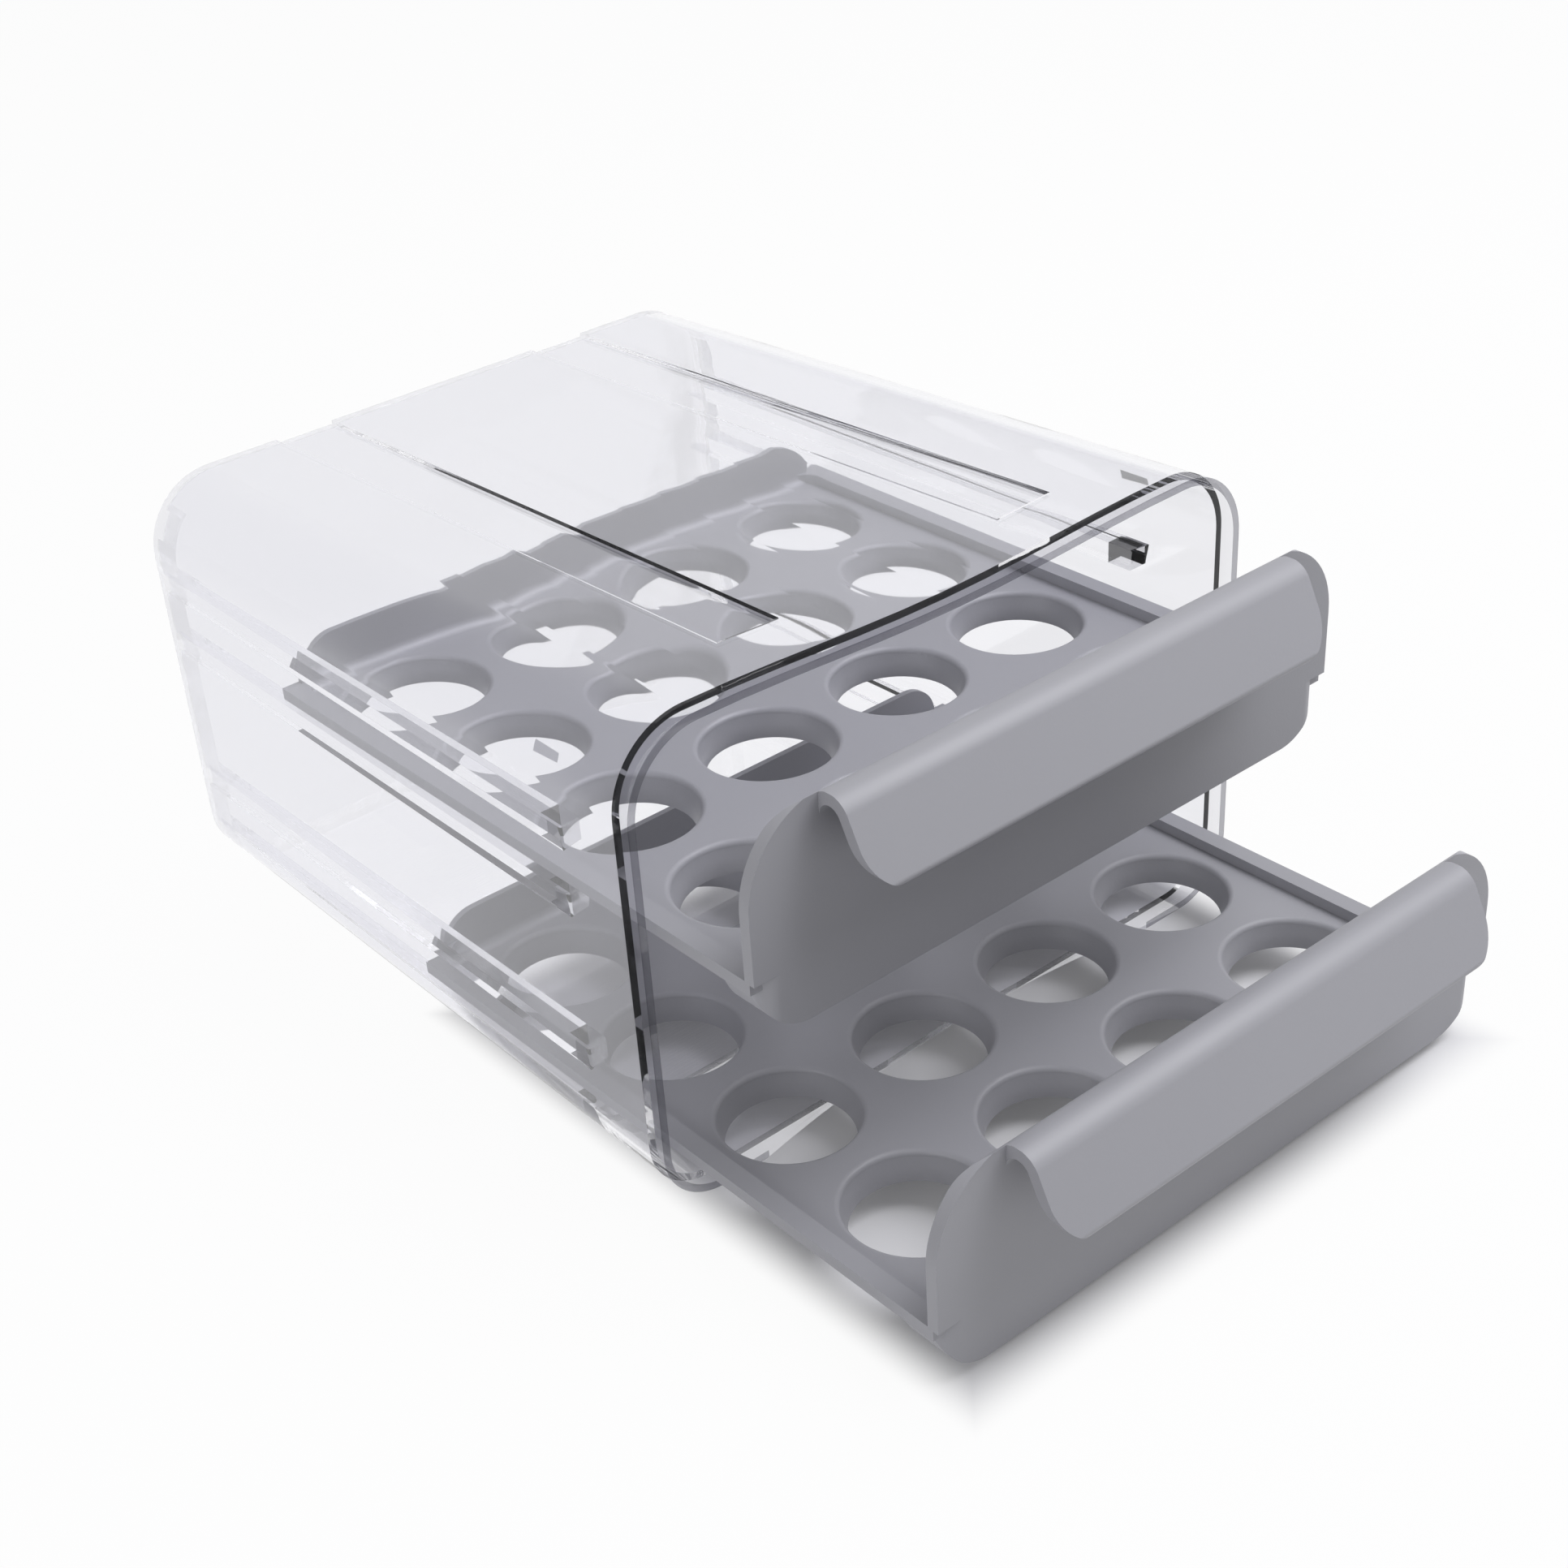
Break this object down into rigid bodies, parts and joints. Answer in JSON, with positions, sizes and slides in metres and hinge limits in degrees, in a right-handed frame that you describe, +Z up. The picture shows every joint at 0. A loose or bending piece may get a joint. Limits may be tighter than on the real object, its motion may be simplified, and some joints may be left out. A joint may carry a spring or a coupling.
{
  "type": "egg storage container",
  "caption": "Clear box open at the front with sliding drawers, one above the other, whose decks hold eggs in round collared holes.",
  "frame": {"origin": "centre of the case's flat underside", "axes": "+X to the right, +Y to the rear (the drawers pull out towards -Y), +Z up"},
  "size_m": [0.216, 0.351, 0.1405],
  "materials": {
    "clear_shell": "clear moulded plastic, glossy",
    "drawer_grey": "fine satin texture"
  },
  "bodies": {
    "case": {"case": "clear_shell"},
    "upper_drawer": {"upper_drawer": "drawer_grey"},
    "lower_drawer": {"lower_drawer": "drawer_grey"}
  },
  "joints": [
    {"name": "upper_drawer_slide", "type": "slide", "parent": "case", "child": "upper_drawer", "axis": [0, -1, 0], "range_m": [-0.0475, 0.1025]},
    {"name": "lower_drawer_slide", "type": "slide", "parent": "case", "child": "lower_drawer", "axis": [0, -1, 0], "range_m": [-0.1055, 0.0445]}
  ]
}
